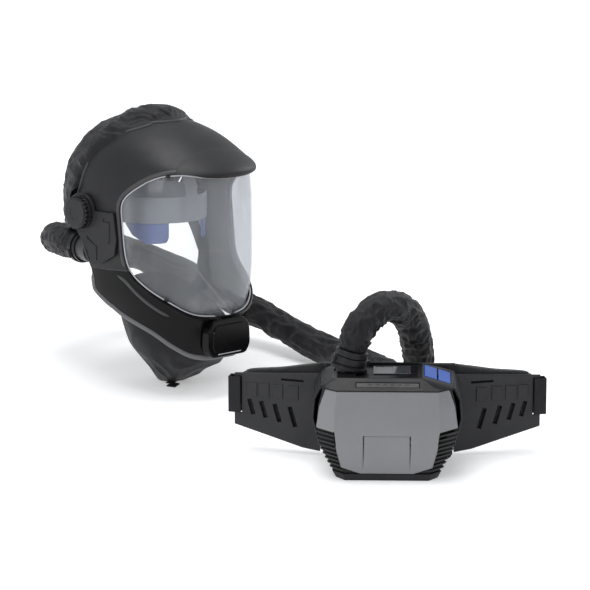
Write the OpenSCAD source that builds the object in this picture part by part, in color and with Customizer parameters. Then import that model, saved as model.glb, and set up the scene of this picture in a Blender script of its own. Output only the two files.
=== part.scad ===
// Powered air respirator: a blower on a waist belt, a breathing tube and a visored helmet.
// The origin is on the floor under the middle of the blower's base, with the cover facing -Y.

/* [Blower] */
// Width of the blower's base
base_w = 131; // [120:1:140]
// Height of the blower's control panel above the floor
blower_h = 131; // [128:1:136]
// Depth from the middle of the blower to the back of its housing
back_y = 50; // [48:1:54]
// Wall thickness of the moulded housings
wall = 3; // [2:0.5:3.5]
// Radius of the fan wheel
fan_r = 36; // [30:1:37]

/* [Belt] */
// Length of each plastic side panel
panel_l = 116; // [100:1:120]
// Angle at which the side panels wrap back
wrap_angle = 14; // [5:1:20]
// Width of the webbing
webbing_w = 49; // [38:1:50]

/* [Breathing tube] */
// Outer diameter of the tube in its fabric cover
hose_d = 44; // [38:1:46]

/* [Helmet] */
// Turn of the helmet away from the blower's right
helmet_turn = 43; // [35:1:48]
// Lean of the helmet's crown towards the back
helmet_lean = 6; // [0:1:8]
// Radius of the pivot knobs
knob_r = 22; // [18:1:24]
// Thickness of the helmet shell
shell_t = 3; // [2:0.5:3]

/* [Hidden] */

gap = 0.4;            // room between neighbouring pieces that do not touch
split_y = -21.5;      // the joint plane between the front frame and the rear housing
lid_z = 118;          // top of the filter cover, where the control panel starts
cover_low = 66;       // the height at which the cover's side facets end

// Half widths and depths of the blower's front, by height
function facet_x(z) = lookup(z, [[0, 54], [18, 58], [45, 65], [68, 68], [95, 67.5], [118, 65.5]]);
function side_x(z) = base_w / 2 + lookup(z, [[0, 0], [15, 8], [42, 22], [68, 28], [95, 26], [118, 20.5]]);
function front_y(z) = lookup(z, [[0, -45], [10, -46], [40, -49.5], [68, -50], [95, -47], [118, -40]]);
function side_y(z) = lookup(z, [[0, -31], [68, -27], [118, -24]]);

// Outlet: its foot, its lean and the distances of its pieces along it
outlet_foot = [-51, 18, 130];
outlet_lean = [-6, 13, 0];
spigot_r = 15.8;
cuff_r = 19.5;

// Helmet pivot, and the tube inlet behind the right cheek in the helmet's own axes
pivot = [-344, 440, 235];
duct_foot = [22, -92, -55];
duct_turn = [0, -90, -11.7];

// The breathing tube's route, from the blower's cuff to the helmet's cuff
hose_points = [
    [-45, 21, 156], [-41, 23, 173], [-32, 33, 189], [-17, 49, 199], [2, 70, 200],
    [18, 91, 190], [29, 110, 171], [36, 126, 145], [40, 139, 116], [43, 150, 86],
    [44, 168, 56], [43, 194, 34], [38, 226, 24], [30, 262, 22], [16, 302, 22],
    [-4, 342, 22], [-30, 380, 22], [-62, 416, 22], [-96, 452, 24], [-130, 488, 31],
    [-165, 522, 41], [-204, 552, 54], [-248, 577, 70], [-296, 594, 89], [-346, 600, 109],
    [-392, 592, 128], [-430, 570, 144], [-456, 538, 157], [-469, 503, 167], [-464, 470, 175],
    [-453, 443, 179], [-440, 422, 181.5], [-427.5, 404.2, 183.5]
];

// Blower shapes -----------------------------------------------------------------------------

// A stack of closed rings, all with the same number of points, made into one solid
module stacked(rings) {
    n = len(rings[0]);
    m = len(rings);
    polyhedron(
        points = [for (ring = rings) each ring],
        faces = concat(
            [[for (i = [0:n - 1]) i]],
            [for (k = [0:m - 2]) for (i = [0:n - 1])
                let (j = (i + 1) % n)
                each [[k * n + i, (k + 1) * n + i, (k + 1) * n + j],
                      [k * n + i, (k + 1) * n + j, k * n + j]]],
            [[for (i = [n - 1:-1:0]) (m - 1) * n + i]]
        ),
        convexity = 8
    );
}

// The faceted front form of the blower, grown outwards by d
front_levels = [0, 5, 10, 18, 28, 40, 54, 68, 82, 95, 107, 118];
module front_form(d) {
    stacked([for (z = front_levels) [
        [side_x(z) + d, split_y, z], [-side_x(z) - d, split_y, z],
        [-side_x(z) - d, side_y(z), z], [-facet_x(z) - d * 0.6, front_y(z) - d, z],
        [facet_x(z) + d * 0.6, front_y(z) - d, z], [side_x(z) + d, side_y(z), z]
    ]]);
}

// A shell of the front form between two growths
module front_skin(outer, inner) {
    difference() {
        front_form(outer);
        translate([0, 0.01, 0]) front_form(inner);
    }
}

// Runs a front-view outline from y0 to y1
module through_y(y0, y1) {
    translate([0, y1, 0]) rotate([90, 0, 0]) linear_extrude(y1 - y0) children();
}

// Right-hand lower corner of the front, which the cover leaves to the louvred grille
module corner_outline(d) {
    polygon([[130, cover_low - d], [facet_x(cover_low) + 0.5 + d, cover_low - d],
        [facet_x(45) + 0.5 + d, 45], [facet_x(18) + 0.5 + d, 18],
        [34 + d, 9.5], [34 + d, -5], [130, -5]]);
}

// Half outline of the rear housing, seen from the front
rear_half = [[0, 0], [64, 0], [73, 14], [88, 42], [97, 76], [95, 102], [87, 118], [0, 118]];
module rear_outline(inset) {
    offset(delta = -inset) polygon(concat(
        rear_half, [for (i = [len(rear_half) - 2:-1:1]) [-rear_half[i][0], rear_half[i][1]]]));
}

module battery_bay() {
    translate([-54, -27, 4.6]) cube([140, 62, 17.8]);
}

module rear_housing() color([0.1, 0.1, 0.11]) {
    difference() {
        through_y(split_y + gap, back_y) rear_outline(0);
        through_y(split_y - 1, back_y - wall) rear_outline(wall);
        battery_bay();
        button_wells();
        for (x = [-52, 52]) for (z = [30, 100])
            translate([x, back_y - wall - 1, z]) rotate([-90, 0, 0]) cylinder(h = 6, r = 2.2, $fn = 24);
        translate(outlet_foot) rotate(outlet_lean) translate([0, 0, -30]) cylinder(h = 60, r = 17, $fn = 48);
    }
}

module front_frame() color([0.11, 0.11, 0.12]) {
    difference() {
        union() {
            difference() {
                front_skin(-wall - 0.3, -wall - 3.3);
                through_y(-60, -30) polygon([[-58, 24], [58, 24], [58, 104], [-58, 104]]);
            }
            intersection() {
                front_skin(0, -wall - 3.3);
                translate([-150, -60, 0]) cube([300, 60, 9.2]);
            }
            intersection() {
                front_form(0);
                translate([-150, -60, 0]) cube([300, 60, 4.2]);
            }
        }
        battery_bay();
    }
}

// A shallow centre panel is pressed into the lower half of the cover
module filter_cover() color([0.52, 0.52, 0.54]) {
    difference() {
        front_skin(0, -wall);
        translate([-150, -60, -1]) cube([300, 60, 10.6]);
        for (s = [0, 1]) mirror([s, 0, 0]) through_y(-60, 0) corner_outline(0);
        translate([-150, -29, -1]) cube([300, 20, 200]);
        for (x = [-30.6, 29.4]) translate([x, -52, 8]) cube([1.2, 5.4, 54]);
        translate([-30, -52, 8]) cube([60, 3, 53]);
    }
}

module side_grille() {
    ribs = 9;
    intersection() {
        union() {
            front_skin(-wall + 0.6, -wall - 0.2);
            intersection() {
                front_skin(0.2, -wall);
                for (i = [0:ribs - 1]) translate([30, -60, 13 + i * 5.9]) cube([100, 40, 2.6]);
            }
        }
        difference() {
            through_y(-60, side_y(0) + 3.5) corner_outline(gap);
            translate([0, -60, -10]) cube([150, 60, 19.7]);
        }
    }
}

module side_grille_right() color([0.08, 0.08, 0.09]) side_grille();
module side_grille_left() color([0.08, 0.08, 0.09]) mirror([1, 0, 0]) side_grille();

// Control panel: a low hood with a sloping front lip and sloping shoulders
lip_y = -22;
shoulder_right = 45;
shoulder_left = -64;
shoulder_slope = atan2(blower_h - lid_z, 87 - shoulder_right);
recess = [[-40, -14, 127], [80, 58, 10]];

// One button on the right shoulder, in the shoulder's own axes
module button_place(i) {
    translate([shoulder_right, 0, blower_h]) rotate([0, shoulder_slope, 0])
        translate([2.6 + i * 18.4, 0, 0]) children();
}

module button_wells() {
    for (i = [0, 1]) button_place(i) translate([0, -9, -9]) cube([17.4, 47, 12]);
}

module top_panel() color([0.09, 0.09, 0.1]) difference() {
    hull() {
        translate([0, 0, lid_z + gap]) linear_extrude(0.6) polygon([
            [-65.5, -40], [65.5, -40], [86, -24], [87, back_y], [-87, back_y], [-86, -24]]);
        translate([0, 0, blower_h - 0.6]) linear_extrude(0.6) polygon([
            [shoulder_left, lip_y], [shoulder_right, lip_y], [shoulder_right, 42],
            [shoulder_right - 6, back_y - 3], [-58, back_y - 3], [shoulder_left, 42]]);
    }
    translate(recess[0]) cube(recess[1]);
    translate([-70, -18, lid_z - 1]) cube([140, back_y - 4 + 18, 5]);
    button_wells();
    translate([0, (-40 + lip_y) / 2, (lid_z + blower_h) / 2]) rotate([atan2(13, 18), 0, 0])
        translate([-40, -4, -1.6]) cube([81, 7.6, 6]);
    translate(outlet_foot) rotate(outlet_lean) translate([0, 0, -20]) cylinder(h = 40, r = 17, $fn = 48);
    translate(outlet_foot) rotate(outlet_lean) translate([0, 0, 1.3]) cylinder(h = 30, r = 24.4, $fn = 48);
}

module indicator_bar() color([0.03, 0.03, 0.03])
    translate([0, (-40 + lip_y) / 2, (lid_z + blower_h) / 2]) rotate([atan2(13, 18), 0, 0])
        difference() {
            translate([-39.6, -3.6, -1.4]) cube([80.2, 6.8, 1.2]);
            for (i = [0:5]) translate([-24 + i * 9.4, -1.4, -0.7]) cube([5, 2.4, 1]);
        }

module display_lens() color([0.25, 0.27, 0.28])
    translate([-18, 6, 127.1]) difference() {
        cube([48, 34, 1.2]);
        translate([3, 4, 0.8]) cube([22, 26, 1]);
    }

module button_cap(i) button_place(i) {
    translate([gap, -9 + gap, -2.2]) cube([17.4 - 2 * gap, 47 - 2 * gap, 2.8]);
    translate([5, 10, -7]) cube([6, 6, 5]);
}
module power_button() color([0.1, 0.25, 0.7]) button_cap(1);
module fan_button() color([0.1, 0.25, 0.7]) button_cap(0);

module circuit_board() color([0.05, 0.3, 0.12]) {
    translate([-33, -12, 111.4]) cube([72, 52, 1.6]);
    for (i = [0:3]) translate([-27 + i * 16, 6, 108.8]) cube([9, 12, 2.8]);
}

filter_z = [26, 102];
module main_filter() color([0.9, 0.9, 0.88]) {
    pleats = 17;
    difference() {
        translate([-56, -35, filter_z[0]]) cube([112, 20, filter_z[1] - filter_z[0]]);
        for (i = [0:pleats - 1]) translate([-52 + i * 6.2, -36, filter_z[0] + 4])
            cube([3.6, 14, filter_z[1] - filter_z[0] - 8]);
    }
}
module spark_screen() color([0.6, 0.6, 0.62]) difference() {
    translate([-56, -38.2, filter_z[0]]) cube([112, 2.2, filter_z[1] - filter_z[0]]);
    for (i = [0:10]) for (k = [0:6])
        translate([-51.5 + i * 9.6, -39, filter_z[0] + 4 + k * 10]) cube([7, 4, 7.4]);
}
module filter_gasket() color([0.15, 0.15, 0.15]) difference() {
    translate([-56, -14.6, filter_z[0]]) cube([112, 3, filter_z[1] - filter_z[0]]);
    translate([-51, -15, filter_z[0] + 5]) cube([102, 4, filter_z[1] - filter_z[0] - 10]);
}

// Fan: a wheel on a motor shaft inside a scroll
fan_at = [4, 0, 65];
module along_y(y0, y1, r) {
    translate([fan_at[0], y0, fan_at[2]]) rotate([-90, 0, 0]) cylinder(h = y1 - y0, r = r, $fn = 64);
}
module fan_housing() color([0.14, 0.14, 0.15]) difference() {
    union() {
        along_y(-11.2, 26, fan_r + 6);
        translate([-58, -11.2, 63]) cube([34, 37.2, 43]);
    }
    along_y(-8.6, 23.4, fan_r + 3.4);
    along_y(-12, -8, 20);
    translate([-55.4, -8.6, 66]) cube([34, 32, 60]);
    along_y(20, 28, 7);
}
module impeller() color([0.3, 0.3, 0.32]) difference() {
    union() {
        along_y(16, 18, fan_r);
        along_y(6, 19, 8);
        for (i = [0:13]) translate([fan_at[0], 0, fan_at[2]]) rotate([0, i * 360 / 14, 0])
            translate([18, 0, -1]) rotate([0, 25, 0]) cube([19, 16.5, 1.6]);
    }
    along_y(5, 20, 2.55);
}
module motor() color([0.5, 0.5, 0.52]) {
    along_y(28, 46.6, 17);
    along_y(24.5, 28, 6);
    along_y(8, 25, 2.5);
}

battery_x = 66;
module battery_pack() color([0.12, 0.12, 0.13]) {
    translate([-52, -25, 5]) cube([110, 58, 16.4]);
    translate([58, -23, 6]) cube([battery_x - 58, 54, 14.4]);
    for (i = [0:4]) translate([battery_x, -17 + i * 9, 8]) cube([1, 3, 10]);
}
latch_foot = [73, 0, 14];
latch_slope = atan2(15, 28);
module battery_latch() color([0.2, 0.2, 0.21])
    translate(latch_foot) rotate([0, latch_slope, 0]) {
        translate([0.4, -19, 11]) cube([2.4, 12, 8]);
        for (i = [0:2]) translate([2.6, -17 + i * 3.6, 12]) cube([1, 1.4, 6]);
    }

module screw_y(p) translate(p) rotate([-90, 0, 0]) difference() {
    union() {
        translate([0, 0, -8]) cylinder(h = 10.4, r = 1.7, $fn = 24);
        translate([0, 0, 0.2]) cylinder(h = 2.2, r = 3.2, $fn = 24);
    }
    translate([0, 0, 1.4]) cylinder(h = 2, r = 1.6, $fn = 6);
}
module housing_screws() color("silver")
    for (x = [-52, 52]) for (z = [30, 100]) screw_y([x, back_y, z]);

module on_outlet() {
    translate(outlet_foot) rotate(outlet_lean) children();
}
module ring(r1, r0, z0, z1) {
    translate([0, 0, z0]) difference() {
        cylinder(h = z1 - z0, r = r1, $fn = 64);
        translate([0, 0, -1]) cylinder(h = z1 - z0 + 2, r = r0, $fn = 64);
    }
}
module outlet_spigot() color([0.1, 0.1, 0.11]) on_outlet() {
    ring(spigot_r, 13.2, -14, 20);
    ring(24, spigot_r - 0.1, 1.6, 6);
    ring(21.5, spigot_r - 0.1, 6, 7.6);
}
module outlet_lock_ring() color([0.07, 0.07, 0.07]) on_outlet() {
    ring(cuff_r + 3.2, cuff_r + 0.5, 8.4, 17);
    for (a = [20, 200]) rotate([0, 0, a]) translate([cuff_r + 2.6, -6, 9.4]) cube([3.2, 12, 6.6]);
}
module blower_cuff() color([0.08, 0.08, 0.08]) on_outlet() {
    ring(cuff_r, spigot_r + 0.3, 8, 26);
    ring(cuff_r + 1.6, cuff_r - 0.1, 18, 26);
}

// Breathing tube: rings swept along the route's points
function unit(v) = v / norm(v);
function headings(p) = [for (i = [0:len(p) - 1]) unit(p[min(i + 1, len(p) - 1)] - p[max(i - 1, 0)])];
module swept_tube(points, r, sides) {
    heading = headings(points);
    first = unit(cross(heading[0], [0, 1, 0]));
    across = [for (i = 0, u = first; i < len(points);
        i = i + 1, u = i < len(points) ? unit(u - (u * heading[i]) * heading[i]) : u) u];
    stacked([for (i = [0:len(points) - 1]) let (u = across[i], v = cross(heading[i], u))
        [for (k = [0:sides - 1]) points[i] + r * (cos(k * 360 / sides) * u + sin(k * 360 / sides) * v)]]);
}
module breathing_tube() color([0.06, 0.06, 0.07]) swept_tube(hose_points, hose_d / 2, 12);

// Belt shapes ---------------------------------------------------------------------------------

belt_y = 66;          // back of the padding behind the blower
hinge_x = 88;         // where the side panels begin
module belt_carrier() color([0.1, 0.1, 0.1]) difference() {
    translate([-84, back_y + 3, 24]) cube([168, 4, 82]);
    for (x = [-52, 52]) for (z = [30, 100])
        translate([x, back_y, z]) rotate([-90, 0, 0]) cylinder(h = 20, r = 4.2, $fn = 24);
}

// The axes of one side of the belt: along the panel, through it and up
module on_wrap() {
    translate([hinge_x, back_y + 1, 0]) rotate([0, 0, wrap_angle]) children();
}
panel_outline = [[0, 6], [24, 9], [panel_l, 34], [panel_l, 104], [60, 108], [24, 111], [0, 113]];
slots = [[37, 50, 28], [58, 53.5, 25], [76.5, 57, 23], [93, 59.5, 21]];   // along, height, length
slot_lean = 16;
module slot_row() {
    for (s = slots) translate([s[0], s[1]]) rotate([0, 0, -slot_lean]) square([5.6, s[2]], center = true);
    translate([22, 99]) square([30, 2.6]);
}
module belt_panel() on_wrap() {
    difference() {
        union() {
            translate([0, 5, 0]) rotate([90, 0, 0]) linear_extrude(4) polygon(panel_outline);
            for (s = slots) translate([s[0] - 8, 1.2, 74]) rotate([90, 0, 0])
                linear_extrude(1.4) polygon([[0, 0], [14, 0], [14, 18], [0, 20]]);
        }
        translate([0, 9, 0]) rotate([90, 0, 0]) linear_extrude(14) slot_row();
        translate([panel_l - 10, -5, 50]) cube([3.6, 20, webbing_w + 2]);
    }
}
module belt_panel_right() color([0.18, 0.18, 0.19]) belt_panel();
module belt_panel_left() color([0.18, 0.18, 0.19]) mirror([1, 0, 0]) belt_panel();

module side_pad() on_wrap() translate([0.5, 18, 0]) rotate([90, 0, 0]) linear_extrude(12)
    polygon([[0, 9], [24, 12], [panel_l - 12, 36], [panel_l - 12, 108], [60, 113], [24, 120], [0, 124]]);
module belt_pad() color([0.07, 0.07, 0.07]) {
    translate([-hinge_x - 4, belt_y - 8, 10]) cube([2 * hinge_x + 8, 9, 115]);
    for (s = [0, 1]) mirror([s, 0, 0]) side_pad();
}

strap_t = 1.8;
module strap_loop() on_wrap() translate([0, 0, 51]) linear_extrude(webbing_w) {
    difference() {
        translate([panel_l - 8.6, -2.6]) square([16, 13]);
        translate([panel_l - 8.6 + strap_t, -2.6 + strap_t]) square([16 - 2 * strap_t, 13 - 2 * strap_t]);
    }
    translate([panel_l - 8.6, 8]) square([strap_t, 16]);
    translate([-1.4, 22.4]) square([panel_l - 5.4, strap_t]);
}
module webbing_right() color([0.05, 0.05, 0.05]) strap_loop();
module webbing_left() color([0.05, 0.05, 0.05]) mirror([1, 0, 0]) strap_loop();
module buckle_place() translate([26, belt_y + 2, 51 + webbing_w / 2]) children();
module buckle_socket() color([0.08, 0.08, 0.08]) buckle_place() difference() {
    translate([0, 0, -29]) cube([54, 10, 58]);
    translate([-1, 2.4, -21]) cube([36, 5.2, 42]);
    translate([44, -1, -26]) cube([5, 12, 52]);
}
module buckle_plug() color([0.08, 0.08, 0.08]) mirror([1, 0, 0]) buckle_place() difference() {
    union() {
        translate([30, 0, -29]) cube([24, 10, 58]);
        for (z = [-20, -4, 12]) translate([2, 2.8, z]) cube([28.2, 4.4, 8]);
    }
    translate([44, -1, -26]) cube([5, 12, 52]);
}

// Helmet shapes -------------------------------------------------------------------------------
// Its own axes have +X forwards, +Y to the wearer's left, and the origin between the pivots.

bolt_r = 4;
module on_helmet() {
    translate(pivot) rotate([-helmet_lean, 0, 0]) rotate([0, 0, -helmet_turn]) children();
}

widest_x = 45;
function shell_front(z) = lookup(z, [[-200, 162], [-191, 164], [-170, 166], [-150, 167], [-137, 170],
    [-110, 179], [-80, 183], [54, 183], [56, 186], [62, 188], [72, 180], [81, 167], [92, 148], [103, 128],
    [112, 107], [119, 89], [124, 73], [126, 60]]);
function shell_back(z) = lookup(z, [[-200, -40], [-100, -70], [-40, -88], [10, -97], [50, -94],
    [80, -80], [100, -58], [112, -34], [119, -10], [124, 18], [126, 46]]);
function shell_half(z) = lookup(z, [[-200, 62], [-175, 78], [-140, 93], [-100, 103], [-40, 108],
    [20, 108], [50, 104], [70, 98], [90, 86], [103, 72], [112, 57], [119, 40], [124, 22], [126, 8]]);
function squareness(z) = lookup(z, [[-200, 2.5], [40, 2.35], [100, 2.1], [126, 2]]);
function bend(c, n) = sign(c) * pow(abs(c), 2 / n);
ring_sides = 36;
crown_levels = [72, 81, 92, 103, 112, 119, 124, 126];
shell_levels = concat([-200, -175, -150, -137, -110, -80, -40, 0, 30, 54, 56, 62], crown_levels);
function visor_front(z) = lookup(z, [[-150, 161], [-137, 165.5], [-110, 174.5], [-80, 178.5], [80, 178.5]]);

// One ring of the helmet's form at height z, grown outwards by d
function form_ring(z, front, d) = let (x0 = min(widest_x, front - 10), n = squareness(z),
        zz = z + d * max(0, min(1, (z - 60) / 50)))
    [for (k = [0:ring_sides - 1]) let (a = k * 360 / ring_sides, c = cos(a), s = sin(a))
        [x0 + bend(c, n) * (c > 0 ? max(front - x0 + d, 2) : max(x0 - shell_back(z) + d, 2)),
         bend(s, n) * max(shell_half(z) + d, 2), zz]];
module shell_form(d) stacked([for (z = shell_levels) form_ring(z, shell_front(z), d)]);
visor_levels = [-150, -137, -110, -80, -40, 0, 40, 70];
module visor_form(d) stacked([for (z = visor_levels) form_ring(z, visor_front(z), d)]);

// Runs a side-view outline through the helmet's whole width
module through_side() {
    translate([0, 150, 0]) rotate([90, 0, 0]) linear_extrude(300) children();
}
opening_side = [[167, 66], [141, 63], [119, 57], [91, 40], [73, 23], [70, 14], [73, -12], [78, -53],
    [84, -72], [106, -92], [139, -114], [157, -132], [167, -142]];
module opening_outline(grow) {
    offset(delta = grow) polygon(concat([[240, 57], [176, 57]], opening_side, [[174, -137], [240, -137]]));
}
lower_edge = [[10, -77], [9, -101], [14, -112], [57, -138], [101, -159], [127, -180], [148, -194], [230, -202]];
lip_h = 6;
back_edge = [[10, -77], [-14, -30], [-24, -14], [-24, 14], [-16, 31], [-3, 71], [8, 93], [33, 109], [60, 121], [66, 160]];

// The side view of everything that the shell and the chin guard cover
module shell_side(raise) {
    polygon(concat([for (p = lower_edge) p + [0, raise]], [[240, -100], [240, 160]],
        [for (i = [len(back_edge) - 1:-1:0]) back_edge[i] + [0, i == 0 ? raise : 0]]));
}
module jaw_side() {
    polygon([[-60, -77], [10, -77], [86, -72], [120, -60], [260, -60], [260, -260], [-60, -260]]);
}
module helmet_skin() difference() {
    shell_form(0);
    shell_form(-shell_t);
}

module helmet_shell() color([0.09, 0.09, 0.1]) on_helmet() difference() {
    helmet_skin();
    through_side() difference() {
        square(600, center = true);
        shell_side(lip_h);
    }
    through_side() opening_outline(0);
    through_side() offset(delta = gap / 2) jaw_side();
    rotate([90, 0, 0]) cylinder(h = 300, r = 6, $fn = 32, center = true);
    on_duct() translate([0, 0, 20]) cylinder(h = 60, r = 18.8, $fn = 48);
}

module chin_guard() color([0.06, 0.06, 0.06]) on_helmet() difference() {
    helmet_skin();
    through_side() difference() {
        square(600, center = true);
        intersection() {
            shell_side(lip_h + 0.2);
            jaw_side();
        }
    }
    through_side() opening_outline(0);
    translate([150, 0, -164]) rotate([0, 90, 0]) cylinder(h = 40, r = 17, $fn = 40);
}

module edge_trim() color([0.5, 0.5, 0.5]) on_helmet() difference() {
    shell_form(1.2);
    shell_form(-shell_t);
    through_side() difference() {
        square(600, center = true);
        intersection() {
            difference() {
                shell_side(0);
                shell_side(lip_h);
            }
            polygon([[-60, -80], [300, -80], [300, -300], [-60, -300]]);
        }
    }
}

module visor() color([0.8, 0.85, 0.88, 0.3]) on_helmet() difference() {
    visor_form(-shell_t - 1.4);
    visor_form(-shell_t - 3.2);
    through_side() difference() {
        square(600, center = true);
        offset(delta = 9) intersection() {
            opening_outline(0);
            polygon([[0, 55], [300, 55], [300, -134], [0, -134]]);
        }
    }
}

module visor_seal() color([0.25, 0.25, 0.26]) on_helmet() difference() {
    shell_form(-shell_t - 0.1);
    shell_form(-shell_t - 1.2);
    translate([150, -150, -250]) cube([200, 300, 500]);
    through_side() difference() {
        square(600, center = true);
        offset(delta = 8) opening_outline(0);
    }
    through_side() offset(delta = 1) opening_outline(0);
    translate([0, -150, 55]) cube([300, 300, 100]);
    translate([0, -150, -240]) cube([300, 300, 100]);
}

module chin_cap_outline(d) {
    offset(delta = d) polygon([[-38, 0], [38, 0], [38, -42], [30, -50], [-30, -50], [-38, -42]]);
}
module facing_front(x0, x1) {
    translate([x0, 0, -141]) rotate([90, 0, 90]) linear_extrude(x1 - x0) children();
}
module exhalation_cover() color([0.12, 0.12, 0.12]) on_helmet() difference() {
    facing_front(170.6, 176) chin_cap_outline(0);
    facing_front(174.4, 180) offset(delta = -6) chin_cap_outline(0);
    facing_front(165, 172.4) offset(delta = -3) chin_cap_outline(0);
    for (i = [0:4]) translate([165, -24, -181 + i * 4]) cube([20, 48, 1.6]);
}
module exhalation_valve() color([0.15, 0.15, 0.15]) on_helmet() translate([150, 0, -164]) rotate([0, 90, 0]) {
    ring(16.6, 13, 12, 18);
    translate([0, 0, 18.1]) cylinder(h = 1, r = 15, $fn = 40);
}

plate_y = 108.6;      // inner face of the bracket's plate
plate_t = 4.4;
module side_plate(y, t) {
    translate([0, -y, 0]) rotate([90, 0, 0]) linear_extrude(t) children();
}
module side_bracket() difference() {
    union() {
        side_plate(plate_y, plate_t) circle(r = knob_r + 5, $fn = 64);
        side_plate(plate_y, plate_t - 0.4) polygon([[-16, -18], [8, -24], [8, 4], [64, 6], [70, -30],
            [66, -52], [40, -66], [20, -70], [12, -52]]);
    }
    side_plate(plate_y + plate_t - 1.6, 3) polygon([[44, -3], [58, -3], [61, -6], [61, -34], [56, -38],
        [54, -36], [56, -32], [56, -8], [44, -8]]);
    side_plate(plate_y + plate_t - 1.6, 3) polygon([[12, -30], [34, -42], [34, -62], [30, -62], [30, -44],
        [12, -34]]);
    rotate([90, 0, 0]) cylinder(h = 300, r = bolt_r + 0.05, $fn = 48, center = true);
}
module side_bracket_right() color([0.1, 0.1, 0.1]) on_helmet() side_bracket();
module side_bracket_left() color([0.1, 0.1, 0.1]) on_helmet() mirror([0, 1, 0]) side_bracket();

arm_y = 95;           // middle of the pivot arms
module pivot_bolt() {
    translate([0, -91, 0]) rotate([90, 0, 0]) cylinder(h = 30, r = bolt_r, $fn = 48);
    translate([0, -88, 0]) rotate([90, 0, 0]) cylinder(h = 3.2, r = 8, $fn = 48);
}
module pivot_bolt_right() color("silver") on_helmet() pivot_bolt();
module pivot_bolt_left() color("silver") on_helmet() mirror([0, 1, 0]) pivot_bolt();

module pivot_knob() translate([0, -113.6, 0]) rotate([90, 0, 0]) difference() {
    union() {
        cylinder(h = 2.4, r = knob_r + 1, $fn = 64);
        translate([0, 0, 2.4]) cylinder(h = 7.2, r = knob_r - 1, $fn = 64);
        translate([0, 0, 9.6]) cylinder(h = 1.6, r = knob_r - 3, $fn = 64);
        for (i = [0:23]) rotate([0, 0, i * 15]) translate([knob_r - 2, -1.1, 2.3]) cube([2.4, 2.2, 6.6]);
    }
    translate([0, 0, -1]) cylinder(h = 9, r = bolt_r + 0.05, $fn = 48);
    translate([0, 0, 10.4]) cylinder(h = 2, r = 9, $fn = 48);
}
module pivot_knob_right() color([0.08, 0.08, 0.08]) on_helmet() pivot_knob();
module pivot_knob_left() color([0.08, 0.08, 0.08]) on_helmet() mirror([0, 1, 0]) pivot_knob();

module on_duct() {
    translate(duct_foot) rotate([0, 0, duct_turn[2]]) rotate([0, duct_turn[1], 0]) children();
}
module air_duct() color([0.2, 0.2, 0.21]) on_helmet() on_duct() {
    ring(18.6, 15.6, 24, 50);
    ring(18.6, 8.5, 22.4, 24);
    ring(10, 8.5, 3, 22.5);
}
module duct_cuff() color([0.08, 0.08, 0.08]) on_helmet() on_duct() {
    ring(cuff_r + 1.6, 18.9, 44, 51);
    ring(cuff_r, 15.6, 51, 62);
}
module duct_lock_ring() color([0.07, 0.07, 0.07]) on_helmet() on_duct() {
    ring(cuff_r + 3.2, cuff_r + 0.5, 51.6, 60);
    for (a = [70, 250]) rotate([0, 0, a]) translate([cuff_r + 2.6, -6, 52.6]) cube([2.6, 12, 6.4]);
}

module head_hood() color([0.06, 0.06, 0.07]) on_helmet() difference() {
    shell_form(5);
    shell_form(2.2);
    through_side() difference() {
        square(600, center = true);
        polygon(concat([[-140, -12], [-72, -20], [-30, -58]], [for (i = [1:len(back_edge) - 1]) back_edge[i] - [1, 0]], [[-140, 160]]));
    }
    translate([0, 0, 0]) rotate([90, 0, 0]) cylinder(h = 300, r = 32, $fn = 48, center = true);
    on_duct() cylinder(h = 90, r = 27, $fn = 32);
}

// The pouch under the chin: rings between a back and a front point in the side view
pouch = [[[6, -96], [147, -194], 77], [[2, -130], [142, -205], 79], [[9, -165], [130, -214], 71],
    [[23, -195], [116, -222], 55], [[36, -219], [100, -231], 38], [[44, -241], [74, -241], 16]];
function pouch_ring(k, d) = let (p = pouch[k], mid = (p[0] + p[1]) / 2, half = (p[1] - p[0]) / 2,
        grow = 1 + d / norm(half))
    [for (i = [0:ring_sides - 1]) let (a = i * 360 / ring_sides, c = bend(cos(a), 2.2), s = bend(sin(a), 2.2))
        [mid[0] + half[0] * grow * c, (p[2] + d) * s, mid[1] + half[1] * grow * c]];
module pouch_form(d) stacked([for (k = [len(pouch) - 1:-1:0]) pouch_ring(k, d)]);
module neck_seal() color([0.06, 0.06, 0.07]) difference() {
    on_helmet() difference() {
        pouch_form(0);
        translate([0, 0, 2.4]) pouch_form(-2.4);
    }
    translate([-700, 0, -100]) cube([700, 900, 100]);
}

module pull_tab() color([0.05, 0.05, 0.05]) translate([-299, 354, 0.2]) rotate([0, 0, -112])
    cube([16, 13, 1.8]);

band_mid = [19, 0];
band_a = 83;
band_b = 74;
function oval(a, b) = [for (k = [0:59]) [band_mid[0] + a * cos(k * 6), b * sin(k * 6)]];
module oval_band(a, b, t, z0, z1) {
    translate([0, 0, z0]) linear_extrude(z1 - z0) difference() {
        polygon(oval(a, b));
        polygon(oval(a - t, b - t));
    }
}
module headband() color([0.62, 0.63, 0.65]) on_helmet() oval_band(band_a, band_b, 2.2, -14, 22);
module sweatband() color([0.3, 0.3, 0.32]) on_helmet() intersection() {
    oval_band(band_a - 2.4, band_b - 2.4, 3.4, -11, 19);
    translate([30, -100, -50]) cube([100, 200, 100]);
}
module strap_arch(half, low, high, t, w) {
    rotate([90, 0, 0]) translate([0, 0, -w / 2]) linear_extrude(w) difference() {
        polygon(concat([for (k = [0:30]) [half * cos(k * 6), low + (high - low) * sin(k * 6)]], [[-half, low - 1], [half, low - 1]]));
        polygon(concat([for (k = [0:30]) [(half - t) * cos(k * 6), low + (high - low - t) * sin(k * 6)]],
            [[-half + t, low - 2], [half - t, low - 2]]));
    }
}
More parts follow.
